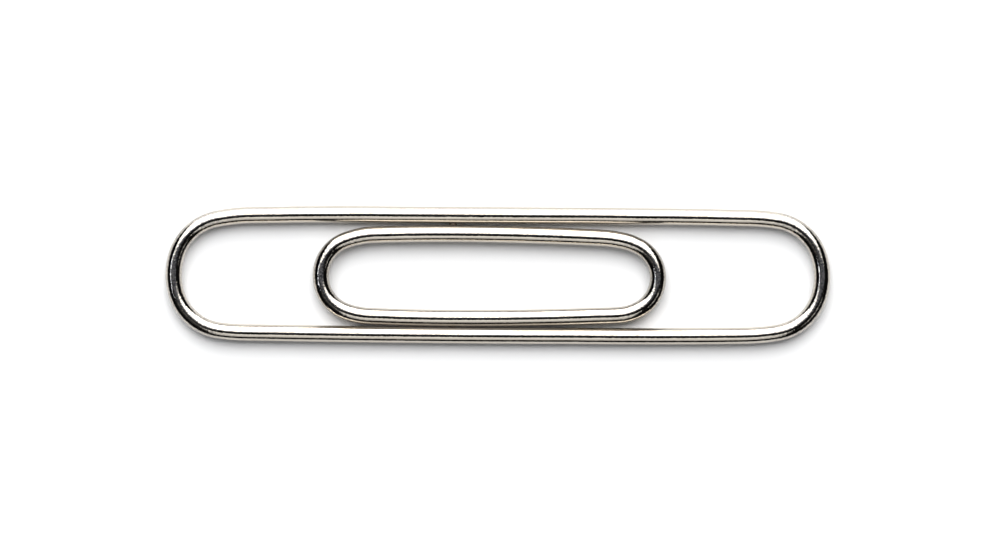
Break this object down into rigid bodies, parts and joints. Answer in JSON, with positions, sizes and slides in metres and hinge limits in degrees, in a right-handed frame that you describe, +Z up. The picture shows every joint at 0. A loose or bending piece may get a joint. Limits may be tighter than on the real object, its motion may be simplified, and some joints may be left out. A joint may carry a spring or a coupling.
{
  "type": "paper clip",
  "caption": "Flat double-oval paper clip of bright plated round wire: a short closed loop tacked inside a longer closed loop, whose sprung ends grip the edge of a stack of paper.",
  "frame": {"origin": "centre of the clip's footprint, on the surface that it lies on", "axes": "+X along the clip's length, towards the end with the longer inner tongue; +Y across the clip; +Z up out of the plane of the loops"},
  "size_m": [0.05, 0.0104, 0.0014],
  "materials": {
    "plated_wire": "bright nickel plate on drawn steel wire",
    "weld_metal": "dull plated weld"
  },
  "bodies": {
    "outer": {"outer_loop": "plated_wire", "weld_tack_rear": "weld_metal", "weld_tack_front": "weld_metal"},
    "inner": {"inner_loop": "plated_wire"}
  },
  "joints": [
    {"name": "inner_loop_rock", "type": "hinge", "parent": "outer", "child": "inner", "pos_m": [-0.0034, 0, 0.0006], "axis": [0, 1, 0], "range_deg": [-6, 6], "stiffness_Nm_per_rad": 1.4}
  ]
}
